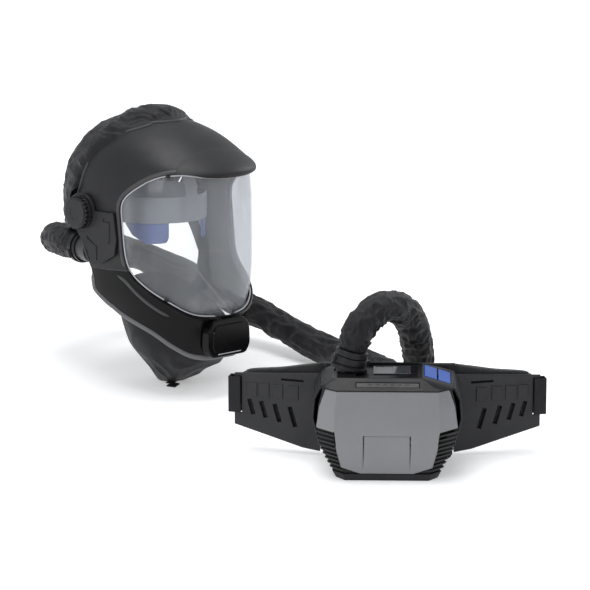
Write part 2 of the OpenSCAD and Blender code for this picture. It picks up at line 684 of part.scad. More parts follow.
module crown_straps() color([0.55, 0.56, 0.58]) on_helmet() {
    translate([band_mid[0], 0, 0]) strap_arch(band_a - 0.2, 23, 98, 1.8, 22);
    translate([band_mid[0], 0, 0]) rotate([0, 0, 90]) strap_arch(band_b - 0.2, 23, 96, 1.8, 22);
}
module temple_pad() intersection() {
    oval_band(band_a - 3, band_b - 1, 4, -52, -14.4);
    translate([0, -52, 0]) rotate([90, 0, 0]) linear_extrude(40, center = true)
        polygon([[40, -12], [92, -12], [97, -25], [86, -42], [70, -43], [52, -31]]);
}
module temple_pad_right() color([0.25, 0.3, 0.6]) on_helmet() temple_pad();
module temple_pad_left() color([0.25, 0.3, 0.6]) on_helmet() mirror([0, 1, 0]) temple_pad();

module pivot_arms() color([0.12, 0.12, 0.13]) on_helmet() for (s = [0, 1]) mirror([0, s, 0]) {
    difference() {
        translate([0, -arm_y + 2, 0]) rotate([90, 0, 0]) cylinder(h = 4, r = 13, $fn = 64);
        translate([0, -80, 0]) rotate([90, 0, 0]) cylinder(h = 40, r = bolt_r + 0.05, $fn = 48);
    }
    translate([12, -arm_y - 2, -9]) cube([12, 4, 18]);
    translate([20, -arm_y - 2, -9]) cube([4, arm_y - 72.4, 18]);
}

module ratchet_housing() color([0.5, 0.5, 0.52]) on_helmet() difference() {
    translate([-74, -30, -20]) cube([9.6, 60, 30]);
    translate([-80, 0, -5]) rotate([0, 90, 0]) cylinder(h = 30, r = 3.05, $fn = 48);
}
module ratchet_knob() color([0.1, 0.1, 0.1]) on_helmet() translate([0, 0, -5]) {
    translate([-86, 0, 0]) rotate([0, 90, 0]) cylinder(h = 11.6, r = 15, $fn = 64);
    translate([-75, 0, 0]) rotate([0, 90, 0]) cylinder(h = 8, r = 3, $fn = 48);
    for (i = [0:11]) rotate([i * 30, 0, 0]) translate([-85, 14, -1.5]) cube([9, 2.2, 3]);
}

rear_housing();
front_frame();
filter_cover();
side_grille_right();
side_grille_left();
top_panel();
indicator_bar();
display_lens();
power_button();
fan_button();
circuit_board();
main_filter();
spark_screen();
filter_gasket();
fan_housing();
impeller();
motor();
battery_pack();
battery_latch();
housing_screws();
outlet_spigot();
outlet_lock_ring();
blower_cuff();
breathing_tube();
duct_cuff();
duct_lock_ring();
belt_carrier();
belt_pad();
belt_panel_right();
belt_panel_left();
webbing_right();
webbing_left();
buckle_socket();
buckle_plug();
helmet_shell();
chin_guard();
edge_trim();
visor();
visor_seal();
exhalation_cover();
exhalation_valve();
side_bracket_right();
side_bracket_left();
air_duct();
pivot_bolt_right();
pivot_bolt_left();
pivot_knob_right();
pivot_knob_left();
head_hood();
neck_seal();
pull_tab();
headband();
sweatband();
crown_straps();
temple_pad_right();
temple_pad_left();
pivot_arms();
ratchet_housing();
ratchet_knob();
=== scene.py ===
import math

import bmesh
import bpy
from mathutils import Matrix, Vector, noise


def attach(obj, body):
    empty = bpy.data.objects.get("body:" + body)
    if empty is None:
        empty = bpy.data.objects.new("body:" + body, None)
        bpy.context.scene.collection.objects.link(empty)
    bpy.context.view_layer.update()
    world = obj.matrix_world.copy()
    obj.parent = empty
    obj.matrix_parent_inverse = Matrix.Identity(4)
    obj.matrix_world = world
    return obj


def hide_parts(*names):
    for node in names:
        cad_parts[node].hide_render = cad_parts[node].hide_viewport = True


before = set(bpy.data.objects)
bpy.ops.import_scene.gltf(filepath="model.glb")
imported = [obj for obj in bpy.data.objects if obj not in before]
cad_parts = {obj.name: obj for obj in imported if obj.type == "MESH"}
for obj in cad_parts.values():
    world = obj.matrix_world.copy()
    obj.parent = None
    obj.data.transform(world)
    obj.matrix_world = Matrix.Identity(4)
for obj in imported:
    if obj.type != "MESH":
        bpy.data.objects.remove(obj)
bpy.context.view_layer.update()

# ---- Studio -----------------------------------------------------------------------------------
# The set stands on a pale table under a large overhead softbox, with softer ones from the front
# left and the back right and a bright surround. A long lens looks at it from a little above.

lens = bpy.data.cameras.new("camera")
lens.lens, lens.sensor_width = 238.4, 36
camera = bpy.data.objects.new("camera", lens)
bpy.context.collection.objects.link(camera)
camera.location = (0, -4.7866, 1.6665)
looks_at = Vector((-0.1190, 0.0062, 0.2329))
camera.rotation_euler = (looks_at - camera.location).to_track_quat("-Z", "Y").to_euler()
bpy.context.scene.camera = camera
bpy.context.scene.view_settings.view_transform = "Standard"


def node_in(tree, kind, **settings):
    """A new shader node with its sockets and settings filled in."""
    node = tree.nodes.new(kind)
    for name, value in settings.items():
        if name in node.inputs:
            node.inputs[name].default_value = value
        else:
            setattr(node, name, value)
    return node


surround = bpy.data.worlds.new("surround")
surround.use_nodes = True
surround.node_tree.nodes["Background"].inputs["Color"].default_value = (0.95, 0.97, 1, 1)
surround.node_tree.nodes["Background"].inputs["Strength"].default_value = 0.64
bpy.context.scene.world = surround


def softbox(name, place, towards, width, power):
    """A square light of a width in metres and a power in watts, turned towards a point."""
    light = bpy.data.lights.new(name, "AREA")
    light.shape, light.size, light.energy = "SQUARE", width, power
    lamp = bpy.data.objects.new(name, light)
    bpy.context.collection.objects.link(lamp)
    lamp.location = place
    lamp.rotation_euler = (Vector(towards) - Vector(place)).to_track_quat("-Z", "Y").to_euler()


softbox("overhead", (-0.4, 0.5, 2.6), (-0.15, 0.25, 0.1), 1.6, 42)
softbox("front_left", (-2.4, -2.2, 1.6), (-0.2, 0.2, 0.15), 1.3, 26)
softbox("back_right", (1.9, 2.4, 1.5), (-0.1, 0.2, 0.15), 1.2, 18)

table_bm = bmesh.new()
bmesh.ops.create_grid(table_bm, x_segments=1, y_segments=1, size=20)
table_mesh = bpy.data.meshes.new("table")
table_bm.to_mesh(table_mesh)
table_bm.free()
table = bpy.data.objects.new("table", table_mesh)
bpy.context.collection.objects.link(table)
table_top = bpy.data.materials.new("table_top")
table_top.use_nodes = True
for setting, value in (("Base Color", (0.9, 0.9, 0.9, 1)), ("Roughness", 0.75),
                       ("Emission Color", (1, 1, 1, 1)), ("Emission Strength", 0.3)):
    table_top.node_tree.nodes["Principled BSDF"].inputs[setting].default_value = value
table_mesh.materials.append(table_top)

# ---- Breathing tube ---------------------------------------------------------------------------
# A corrugated hose inside a loose sleeve of black coated nylon, which bunches on the inner side
# of each bend. It leaves the blower's cuff, arches over and runs behind the blower and helmet.

tube_route = [
    (-45, 21, 156), (-41, 23, 173), (-32, 33, 189), (-17, 49, 199), (2, 70, 200),
    (18, 91, 190), (29, 110, 171), (36, 126, 145), (40, 139, 116), (43, 150, 86),
    (44, 168, 56), (43, 194, 34), (38, 226, 24), (30, 262, 22), (16, 302, 22),
    (-4, 342, 22), (-30, 380, 22), (-62, 416, 22), (-96, 452, 24), (-130, 488, 31),
    (-165, 522, 41), (-204, 552, 54), (-248, 577, 70), (-296, 594, 89), (-346, 600, 109),
    (-392, 592, 128), (-430, 570, 144), (-456, 538, 157), (-469, 503, 167), (-464, 470, 175),
    (-453, 443, 179), (-440, 422, 181.5), (-427.5, 404.2, 183.5),
]
tube_d = 44
mm = Matrix.Scale(0.001, 4)


def through_points(points, share):
    """The place at a share of the way through a list of points, on a smooth curve."""
    points = [Vector(p) for p in points]
    points = [2 * points[0] - points[1]] + points + [2 * points[-1] - points[-2]]
    at = min(max(share, 0), 0.999999) * (len(points) - 3)
    i = int(at)
    a, b, c, d = points[i:i + 4]
    t = at - i
    return 0.5 * (2 * b + (c - a) * t + (2 * a - 5 * b + 4 * c - d) * t ** 2
                  + (3 * b - a - 3 * c + d) * t ** 3)


def bent_grid(across, along, place, weld=0.01):
    """A grid with its own UV map, bent to place(u, v); its seam and poles are welded."""
    bm = bmesh.new()
    bmesh.ops.create_grid(bm, x_segments=across, y_segments=along, size=0.5)
    uv = bm.loops.layers.uv.new("UVMap")
    for face in bm.faces:
        for loop in face.loops:
            loop[uv].uv = (loop.vert.co.x + 0.5, loop.vert.co.y + 0.5)
    for vert in bm.verts:
        vert.co = place(vert.co.x + 0.5, vert.co.y + 0.5)
    bmesh.ops.remove_doubles(bm, verts=bm.verts, dist=weld)
    bmesh.ops.recalc_face_normals(bm, faces=bm.faces)
    return bm


def piece_from(name, bm, body, finish, replaced=(), place=mm, crease=32, even=False):
    """Makes the finished piece: smooth faces, sharp creases, its material and its body."""
    if place is not None:
        bm.transform(place)
    mesh = bpy.data.meshes.new(name)
    bm.to_mesh(mesh)
    bm.free()
    mesh.shade_smooth()
    mesh.set_sharp_from_angle(angle=math.radians(crease))
    mesh.materials.append(finish)
    piece = bpy.data.objects.new(name, mesh)
    bpy.context.collection.objects.link(piece)
    if even:
        piece.modifiers.new("even_shading", "WEIGHTED_NORMAL").keep_sharp = True
    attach(piece, body)
    if replaced:
        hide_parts(*replaced)
    return piece


def woven(name, colour, repeats, roughness=0.62, sheen=0.25, depth=0.35):
    """Black cloth: threads both ways on the piece's UV map, with a soft sheen and rubbed patches."""
    finish = bpy.data.materials.new(name)
    finish.use_nodes = True
    tree = finish.node_tree
    link = tree.links.new
    cloth = tree.nodes["Principled BSDF"]
    cloth.inputs["Sheen Weight"].default_value = sheen
    cloth.inputs["Sheen Roughness"].default_value = 0.45
    cloth.inputs["Specular IOR Level"].default_value = 0.25
    place = node_in(tree, "ShaderNodeTexCoord")
    spread = node_in(tree, "ShaderNodeMapping", Scale=(repeats[0], repeats[1], 1))
    link(place.outputs["UV"], spread.inputs["Vector"])
    warp = node_in(tree, "ShaderNodeTexWave", bands_direction="X", Scale=1.0, Distortion=0.6)
    weft = node_in(tree, "ShaderNodeTexWave", bands_direction="Y", Scale=1.0, Distortion=0.6)
    for threads in (warp, weft):
        link(spread.outputs["Vector"], threads.inputs["Vector"])
    crossed = node_in(tree, "ShaderNodeMath", operation="MULTIPLY")
    link(warp.outputs["Fac"], crossed.inputs[0])
    link(weft.outputs["Fac"], crossed.inputs[1])
    rubbed = node_in(tree, "ShaderNodeTexNoise", Scale=28.0, Detail=5.0, Roughness=0.6)
    link(place.outputs["Object"], rubbed.inputs["Vector"])
    tone = node_in(tree, "ShaderNodeValToRGB")
    tone.color_ramp.elements[0].position = 0.3
    tone.color_ramp.elements[0].color = (*[c * 0.65 for c in colour], 1)
    tone.color_ramp.elements[1].position = 0.75
    tone.color_ramp.elements[1].color = (*[c * 1.5 for c in colour], 1)
    link(rubbed.outputs["Fac"], tone.inputs["Fac"])
    link(tone.outputs["Color"], cloth.inputs["Base Color"])
    rough = node_in(tree, "ShaderNodeMapRange")
    rough.inputs["To Min"].default_value = roughness - 0.1
    rough.inputs["To Max"].default_value = roughness + 0.12
    link(rubbed.outputs["Fac"], rough.inputs["Value"])
    link(rough.outputs["Result"], cloth.inputs["Roughness"])
    raised = node_in(tree, "ShaderNodeBump", Strength=depth, Distance=0.0003)
    link(crossed.outputs["Value"], raised.inputs["Height"])
    link(raised.outputs["Normal"], cloth.inputs["Normal"])
    return finish


sleeve_nylon = woven("sleeve_nylon", (0.007, 0.007, 0.0085), (160, 1400), roughness=0.5, sheen=0.05)


def tube_frame(share):
    """The tube's centre at a share of its length, two directions across it, and its lean."""
    centre = through_points(tube_route, share)
    ahead = through_points(tube_route, share + 0.002)
    behind = through_points(tube_route, share - 0.002)
    heading = (ahead - behind).normalized()
    lean = (ahead - centre).normalized() - (centre - behind).normalized()
    side = heading.cross(Vector((0.25, -0.35, 0.9))).normalized()
    return centre, side, heading.cross(side), lean / max((ahead - centre).length, 0.1)


tube_rings = 640
tube_frames = [tube_frame(i / tube_rings) for i in range(tube_rings + 1)]
tube_length = sum((b[0] - a[0]).length for a, b in zip(tube_frames, tube_frames[1:]))
fold_every, crease_every, tied_down = 15, 22, 26
seam_at, end_pleats = 0.62, 26


def sleeve_point(u, v):
    """A place on the sleeve: folds across it where it is bunched, pulled smoother outside."""
    centre, side, up, lean = tube_frames[round(v * tube_rings)]
    turn = 2 * math.pi * u
    c, s = math.cos(turn), math.sin(turn)
    out = side * c + up * s
    run = v * tube_length
    inner = out.dot(lean) * tube_d / 2
    bunched = 0.55 + 1.6 * min(max(inner, -0.25), 0.8)
    wander = noise.noise(Vector((run / 60, c * 0.9, s * 0.9)))
    folds = noise.noise(Vector((run / fold_every + wander * 2.2, c * 0.8, s * 0.8 + 4)))
    creases = noise.noise(Vector((run / crease_every + 7, c * 1.9 + run / 70, s * 1.9)))
    small = noise.noise(Vector((run / 4.5, c * 3.4, s * 3.4 + 9)))
    ridge = 1 - 2.2 * abs(folds)
    sharp = 1 - 2.4 * abs(creases)
    seam = math.exp(-((u - seam_at) / 0.012) ** 2) * 0.7
    settled = min(1, min(run, tube_length - run) / tied_down)
    radius = tube_d / 2 - 3.2 + (2.9 * bunched * ridge + 1.9 * sharp + 0.5 * small) * settled + seam
    radius -= 1.3 * (1 - settled) - 0.5 * (1 - settled) * math.cos(turn * end_pleats)
    return centre + out * radius


sleeve = piece_from("tube_sleeve", bent_grid(84, tube_rings, sleeve_point, 0.02), "root",
                    sleeve_nylon, ["breathing_tube"], crease=180)
[tuple(p[0] / 1000) for p in tube_frames[::16]]

# ---- Blower housings --------------------------------------------------------------------------
# The rear housing and the front frame are injection-moulded in black glass-filled nylon with a
# fine matt grain. Four screws through the belt carrier hold the two halves together.


def moulded(name, colour, roughness=0.42, grain=0.25, mottle=0.12, coat=0.0, grain_size=0.0006,
            shine=0.28):
    """Injection-moulded plastic: a fine spark-eroded grain, faint flow marks and handling rubs."""
    finish = bpy.data.materials.new(name)
    finish.use_nodes = True
    tree = finish.node_tree
    link = tree.links.new
    plastic = tree.nodes["Principled BSDF"]
    plastic.inputs["Coat Weight"].default_value = coat
    plastic.inputs["Coat Roughness"].default_value = 0.12
    plastic.inputs["Specular IOR Level"].default_value = shine
    place = node_in(tree, "ShaderNodeTexCoord")
    marks = node_in(tree, "ShaderNodeTexNoise", Scale=22.0, Detail=6.0, Roughness=0.62)
    link(place.outputs["Object"], marks.inputs["Vector"])
    tone = node_in(tree, "ShaderNodeValToRGB")
    tone.color_ramp.elements[0].position = 0.32
    tone.color_ramp.elements[0].color = (*[c * (1 - mottle) for c in colour], 1)
    tone.color_ramp.elements[1].position = 0.72
    tone.color_ramp.elements[1].color = (*[min(c * (1 + mottle) + mottle * 0.004, 1) for c in colour], 1)
    link(marks.outputs["Fac"], tone.inputs["Fac"])
    link(tone.outputs["Color"], plastic.inputs["Base Color"])
    rubs = node_in(tree, "ShaderNodeMapRange")
    rubs.inputs["From Min"].default_value = 0.3
    rubs.inputs["From Max"].default_value = 0.75
    rubs.inputs["To Min"].default_value = roughness + 0.06
    rubs.inputs["To Max"].default_value = max(roughness - 0.08, 0.03)
    link(marks.outputs["Fac"], rubs.inputs["Value"])
    link(rubs.outputs["Result"], plastic.inputs["Roughness"])
    pits = node_in(tree, "ShaderNodeTexNoise", Scale=1 / grain_size, Detail=2.0, Roughness=0.5)
    link(place.outputs["Object"], pits.inputs["Vector"])
    skin = node_in(tree, "ShaderNodeBump", Strength=grain, Distance=0.00012)
    link(pits.outputs["Fac"], skin.inputs["Height"])
    link(skin.outputs["Normal"], plastic.inputs["Normal"])
    return finish


merge_within, flat_within = 0.000004, math.radians(1.2)


def rounded_copy(node, width, corner=28, segments=2):
    """A merged copy of a CAD node, in metres, its flats made whole and its edges rounded."""
    bm = bmesh.new()
    bm.from_mesh(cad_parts[node].data)
    bmesh.ops.remove_doubles(bm, verts=bm.verts, dist=merge_within)
    bmesh.ops.dissolve_limit(bm, angle_limit=flat_within, verts=bm.verts, edges=bm.edges)
    corners = [e for e in bm.edges if len(e.link_faces) == 2
               and e.calc_face_angle(0) > math.radians(corner)]
    bmesh.ops.bevel(bm, geom=corners, offset=width / 1000, offset_type="OFFSET", affect="EDGES",
                    segments=segments, profile=0.5, material=-1, clamp_overlap=False)
    bmesh.ops.recalc_face_normals(bm, faces=bm.faces)
    return bm


def moulding(name, node, body, slot, finish, width, **settings):
    """A rigid piece that takes a CAD node's place, with rounded edges and even shading."""
    return piece_from(name, rounded_copy(node, width, **settings), body, finish, [node],
                      place=None, crease=40, even=True)


housing_black = moulded("housing_black", (0.012, 0.012, 0.014), roughness=0.5, grain=0.4)
moulding("rear_moulding", "rear_housing", "root", "black_housing", housing_black, 1.4, segments=3)
moulding("front_moulding", "front_frame", "root", "black_housing", housing_black, 0.8)
screw_steel = moulded("screw_steel", (0.42, 0.42, 0.44), roughness=0.3, grain=0.1)
screw_steel.node_tree.nodes["Principled BSDF"].inputs["Metallic"].default_value = 1
moulding("case_screws", "housing_screws", "root", "screen_steel", screw_steel, 0.15)

# ---- Filter cover -----------------------------------------------------------------------------
# A mid-grey moulded door over the filter, with creased side facets and a shallow pressed panel
# low in its middle. It pulls straight off the front.

cover_grey = moulded("cover_grey", (0.205, 0.205, 0.215), roughness=0.36, grain=0.35, mottle=0.03)
moulding("cover_moulding", "filter_cover", "cover", "grey_cover", cover_grey, 0.9, segments=3, corner=24)

# ---- Corner grilles ---------------------------------------------------------------------------
# Louvred air inlets at the two lower corners of the front, moulded in black.

grille_black = moulded("grille_black", (0.008, 0.008, 0.009), roughness=0.45)
for hand in ("right", "left"):
    moulding(f"louvres_{hand}", f"side_grille_{hand}", "root", "grille_black", grille_black, 0.45)

# ---- Control panel ----------------------------------------------------------------------------
# A glossier black lid with a sloping front lip, a recessed display under a clear window, a
# slotted light bar in the lip and two blue rubber keys on its right shoulder.

lid_black = moulded("lid_black", (0.007, 0.007, 0.008), roughness=0.3, grain=0.2, shine=0.16)
moulding("panel_lid", "top_panel", "root", "black_housing", lid_black, 0.9, segments=3)
bar_black = moulded("bar_black", (0.004, 0.004, 0.005), roughness=0.2, grain=0.05)
moulding("light_bar", "indicator_bar", "root", "grille_black", bar_black, 0.2)
key_blue = moulded("key_blue", (0.028, 0.085, 0.36), roughness=0.42, grain=0.3, mottle=0.08)
moulding("power_keycap", "power_button", "power_key", "button_blue", key_blue, 0.6, segments=3)
moulding("fan_keycap", "fan_button", "fan_key", "button_blue", key_blue, 0.6, segments=3)
window = moulded("display_window", (0.05, 0.055, 0.06), roughness=0.08, grain=0.0, coat=0.6)
moulding("display_glass", "display_lens", "root", "display", window, 0.3)

# ---- Inside the blower ------------------------------------------------------------------------
# Behind the cover sit a steel spark screen, a pleated paper filter, its rubber gasket, the fan
# wheel in its scroll, the motor and the circuit board.

filter_paper = moulded("filter_paper", (0.78, 0.77, 0.72), roughness=0.85, grain=0.6, mottle=0.04)
board_green = moulded("board_green", (0.015, 0.12, 0.05), roughness=0.4)
gasket_rubber = moulded("gasket_rubber", (0.012, 0.012, 0.012), roughness=0.7)
wheel_grey = moulded("wheel_grey", (0.06, 0.06, 0.065), roughness=0.45)
moulding("pleated_filter", "main_filter", "root", "filter_paper", filter_paper, 0.5)
moulding("spark_mesh", "spark_screen", "root", "screen_steel", screw_steel, 0.3)
moulding("filter_seal", "filter_gasket", "root", "gasket_rubber", gasket_rubber, 0.8)
moulding("fan_scroll", "fan_housing", "root", "black_housing", housing_black, 0.6)
moulding("fan_blades", "impeller", "fan_wheel", "wheel_plastic", wheel_grey, 0.2)
moulding("fan_motor", "motor", "root", "screen_steel", screw_steel, 0.6)
moulding("control_board", "circuit_board", "root", "board_green", board_green, 0.2)

# ---- Battery ----------------------------------------------------------------------------------
# A black battery pack that slides in from the right-hand side under a small sprung latch.

battery_black = moulded("battery_black", (0.014, 0.014, 0.016), roughness=0.45)
moulding("battery_case", "battery_pack", "battery", "battery_black", battery_black, 0.8)
moulding("battery_catch", "battery_latch", "latch", "battery_black", battery_black, 0.3)

# ---- Outlet and tube cuffs --------------------------------------------------------------------
# A short moulded spigot leans out of the lid. The tube's cuff pushes over it, and a bayonet
# ring with two thumb tabs locks it. The same cuff and ring end the tube at the helmet.

cuff_black = moulded("cuff_black", (0.008, 0.008, 0.009), roughness=0.4, grain=0.3)
moulding("outlet_collar", "outlet_spigot", "root", "collar_black", cuff_black, 0.6)
moulding("outlet_bayonet", "outlet_lock_ring", "outlet_ring", "collar_black", cuff_black, 0.6)
moulding("outlet_cuff", "blower_cuff", "root", "collar_black", cuff_black, 0.6)
moulding("helmet_cuff", "duct_cuff", "root", "collar_black", cuff_black, 0.6)
moulding("helmet_bayonet", "duct_lock_ring", "duct_ring", "collar_black", cuff_black, 0.6)

# ---- Belt panels ------------------------------------------------------------------------------
# Two stiff side panels in dark grey nylon hang on a carrier plate behind the blower. Each has
# four slanted slots, a horizontal vent and a webbing slot at its end.

belt_grey = moulded("belt_grey", (0.022, 0.022, 0.025), roughness=0.5, grain=0.45)
moulding("belt_plate", "belt_carrier", "root", "belt_plastic", belt_grey, 0.8)
for hand in ("right", "left"):
    moulding(f"side_panel_{hand}", f"belt_panel_{hand}", "root", "belt_plastic", belt_grey, 0.7,
             segments=3)
buckle_black = moulded("buckle_black", (0.009, 0.009, 0.01), roughness=0.4)
moulding("buckle_female", "buckle_socket", "root", "buckle_plastic", buckle_black, 0.9)
moulding("buckle_male", "buckle_plug", "root", "buckle_plastic", buckle_black, 0.9)

# ---- Helmet shell -----------------------------------------------------------------------------
# The crown, brow and sides are one moulding in black satin nylon, 3 mm thick. A rolled rim runs
# round the window opening and a narrower one along the rear edge, and a crease marks the brow.

on_helmet = (Matrix.Translation((-0.344, 0.440, 0.235)) @ Matrix.Rotation(math.radians(-6), 4, "X")
             @ Matrix.Rotation(math.radians(-43), 4, "Z") @ mm)
shell_front = [
    (-200, 162), (-191, 164), (-170, 166), (-150, 167), (-137, 170), (-110, 179), (-80, 183),
    (50, 182), (54, 184.6), (62, 185), (65, 183), (72, 175), (81, 161), (92, 142), (103, 122),
    (112, 101), (119, 84), (124, 69), (126, 58),
]
visor_front = [(-150, 161), (-137, 165.5), (-110, 174.5), (-80, 178.5), (80, 178.5)]
shell_back = [
    (-200, -40), (-100, -70), (-40, -88), (10, -97), (50, -94), (80, -80), (100, -58), (112, -34),
    (119, -10), (124, 18), (126, 46),
]
shell_half = [
    (-200, 62), (-175, 78), (-140, 93), (-100, 103), (-40, 108), (20, 108), (50, 104), (70, 98),
    (90, 86), (103, 72), (112, 57), (119, 40), (124, 22), (126, 8),
]
squareness = [(-200, 2.5), (40, 2.35), (100, 2.1), (126, 2)]
form_top, shell_wall, widest_at = 126, 3, 45


def looked_up(table, at):
    """The value that a table gives, on a smooth curve that never overshoots its entries."""
    if at <= table[0][0]:
        return table[0][1]
    if at >= table[-1][0]:
        return table[-1][1]
    i = next(k for k in range(len(table) - 1) if at <= table[k + 1][0])
    (x0, y0), (x1, y1) = table[i:i + 2]
    slope = (y1 - y0) / (x1 - x0)
    before = (y0 - table[i - 1][1]) / (x0 - table[i - 1][0]) if i else slope
    after = (table[i + 2][1] - y1) / (table[i + 2][0] - x1) if i + 2 < len(table) else slope
    lead = 2 * before * slope / (before + slope) if before * slope > 0 else 0
    trail = 2 * after * slope / (after + slope) if after * slope > 0 else 0
    t = (at - x0) / (x1 - x0)
    return (y0 + (y1 - y0) * t ** 2 * (3 - 2 * t)
            + (x1 - x0) * t * (1 - t) * (lead * (1 - t) - trail * t))


def eased(value, low, high):
    """0 below low, 1 above high, and a smooth step between them."""
    t = min(max((value - low) / (high - low), 0), 1)
    return t * t * (3 - 2 * t)


def form_middle(z, front):
    """Where the helmet's form is widest at a height."""
    return min(widest_at, looked_up(front, z) - 10)


def form_point(angle, z, grow, front=shell_front):
    """A place on the helmet's form, grown outwards, at a turn from straight ahead and a height."""
    middle = form_middle(z, front)
    n = looked_up(squareness, z)
    c, s = math.cos(angle), math.sin(angle)
    run = looked_up(front, z) - middle if c > 0 else middle - looked_up(shell_back, z)
    x = middle + math.copysign(abs(c) ** (2 / n), c) * max(run + grow, 2)
    y = math.copysign(abs(s) ** (2 / n), s) * max(looked_up(shell_half, z) + grow, 2)
    return Vector((x, y, z + grow * min(max((z - 60) / 50, 0), 1)))


def form_turn(x, z):
    """The turn at which the form reaches x at a height, on the wearer's left."""
    middle = form_middle(z, shell_front)
    run = looked_up(shell_front, z) - middle if x > middle else middle - looked_up(shell_back, z)
    c = min(abs(x - middle) / run, 1) ** (looked_up(squareness, z) / 2)
    return math.acos(math.copysign(c, x - middle))


def form_normal(turn, z):
    """The outward direction of the form."""
    across = form_point(turn + 0.004, z, 0) - form_point(turn - 0.004, z, 0)
    upward = form_point(turn, z + 0.4, 0) - form_point(turn, z - 0.4, 0)
    return across.cross(upward).normalized()


def form_solid(grow, front, low, high, domed, columns=150, rows=120, swell=None):
    """The helmet's form grown outwards, as a closed solid: domed over at the top, or flat.

    swell(turn, z) may add to the growth from place to place.
    """
    def place(u, v):
        if domed and v == 1:
            return Vector((53, 0, high + grow))
        z = high - (high - low) * ((1 - v) ** 1.6 if domed else 1 - v)
        extra = swell(2 * math.pi * u, z) if swell else 0
        return form_point(2 * math.pi * u, z, grow + extra, front)
    bm = bent_grid(columns, rows, place, 0.001)
    bmesh.ops.holes_fill(bm, edges=[e for e in bm.edges if e.is_boundary], sides=0)
    bmesh.ops.recalc_face_normals(bm, faces=bm.faces)
    return bm


def smooth_line(points, count=40):
    """A side-view line through (x, z) points, as a smooth curve."""
    curve = [through_points([(x, 0, z) for x, z in points], i / count) for i in range(count + 1)]
    return [(p.x, p.z) for p in curve]


def shifted(line, distance):
    """A side-view line moved sideways, to its left as it runs."""
    moved = []
    for i, (x, z) in enumerate(line):
        (ax, az), (bx, bz) = line[max(i - 1, 0)], line[min(i + 1, len(line) - 1)]
        run = math.hypot(bx - ax, bz - az)
        moved.append((x - distance * (bz - az) / run, z + distance * (bx - ax) / run))
    return moved


def side_prism(outline):
    """A block through the helmet's whole width, from its outline seen from the side."""
    half_width = 160
    bm = bmesh.new()
    face = bm.faces.new([bm.verts.new((x, -half_width, z)) for x, z in outline])
    pulled = bmesh.ops.extrude_face_region(bm, geom=[face])
    bmesh.ops.translate(bm, vec=(0, 2 * half_width, 0),
                        verts=[v for v in pulled["geom"] if isinstance(v, bmesh.types.BMVert)])
    bmesh.ops.recalc_face_normals(bm, faces=bm.faces)
    return bm


def carved(solid, *steps):
    """A solid after cutting: each step is a boolean operation and the other solid."""
    things = []
    for bm in (solid, *[other for _, other in steps]):
        mesh = bpy.data.meshes.new("carving")
        bm.to_mesh(mesh)
        bm.free()
        things.append(bpy.data.objects.new("carving", mesh))
        bpy.context.collection.objects.link(things[-1])
    for (operation, _), other in zip(steps, things[1:]):
        change = things[0].modifiers.new("carve", "BOOLEAN")
        change.operation, change.solver, change.object = operation, "EXACT", other
    result = things[0].evaluated_get(bpy.context.evaluated_depsgraph_get())
    bm = bmesh.new()
    bm.from_mesh(result.to_mesh())
    for thing in things:
        bpy.data.objects.remove(thing)
    bmesh.ops.remove_doubles(bm, verts=bm.verts, dist=0.02)
    return bm


def bead(path, width, height, sink=0.3, samples=260, sides=18, taper=6):
    """A rounded bar laid along a path of (turn, height) on the helmet's form, tapered at its ends."""
    line = [through_points([(a * 100, 0, z) for a, z in path], i / samples) for i in range(samples + 1)]
    spots = [form_point(p.x / 100, p.z, 0) for p in line]
    outs = [form_normal(p.x / 100, p.z) for p in line]
    runs = [0]
    for a, b in zip(spots, spots[1:]):
        runs.append(runs[-1] + (b - a).length)

    def place(u, v):
        i = round(v * samples)
        heading = (spots[min(i + 1, samples)] - spots[max(i - 1, 0)]).normalized()
        sideways = heading.cross(outs[i]).normalized()
        size = math.sqrt(max(min(runs[i], runs[-1] - runs[i], taper) / taper, 0))
        turn = 2 * math.pi * u
        return (spots[i] - outs[i] * sink + sideways * (width / 2 * math.cos(turn) * size)
                + outs[i] * (height * math.sin(turn) * size))
    return bent_grid(sides, samples, place, 0.005)


opening_side = smooth_line([
    (176, 60), (160, 65), (141, 64), (119, 57), (91, 40), (76, 26), (71, 12), (73, -12), (78, -53),
    (87, -75), (106, -92), (139, -114), (157, -130), (172, -138),
], 70)
back_edge = smooth_line([
    (66, 160), (62, 124), (34, 110), (8, 93), (-4, 70), (-16, 31), (-23, 12), (-24, -14), (-13, -32),
    (10, -76.8),
], 60)
lower_edge = smooth_line([
    (10, -77), (9, -101), (16, -113), (57, -138), (101, -159), (127, -180), (148, -194), (180, -198),
    (230, -200),
], 60)
opening = [(240, 57), (188, 57)] + opening_side + [(186, -139), (240, -139)]


def brow(turn, z):
    """The brow stands slightly proud of the crown in front of its crease."""
    x = form_point(turn, z, 0).x
    return 2.4 * eased(x, 142, 147) * (1 - eased(z, 62, 100)) * eased(z, 40, 56)


satin_black = moulded("satin_black", (0.014, 0.014, 0.0155), roughness=0.46, grain=0.5, mottle=0.1)
shell_region = back_edge + [(86, -71.8), (120, -59.8), (260, -59.8), (260, 160)]
shell_solid = carved(form_solid(0, shell_front, -100, form_top, True, swell=brow),
                     ("DIFFERENCE", form_solid(-shell_wall, shell_front, -110, form_top, True)),
                     ("INTERSECT", side_prism(shell_region)), ("DIFFERENCE", side_prism(opening)))
piece_from("shell_moulding", shell_solid, "root", satin_black, ["helmet_shell"],
           place=on_helmet, crease=38)
# The rims and ribs are the same black plastic as the shell and jaw; this lighter black paints on the
# highlight along them.
rim_painted_highlight = moulded("rim_painted_highlight", (0.05, 0.05, 0.053), roughness=0.36, grain=0.25)


def round_the_front(side_line, front_points=()):
    """A path of (turn, height) from one cheek round the front to the other."""
    half = [(form_turn(x, z), z) for x, z in side_line]
    return half + list(front_points) + [(-a, z) for a, z in reversed(half)]
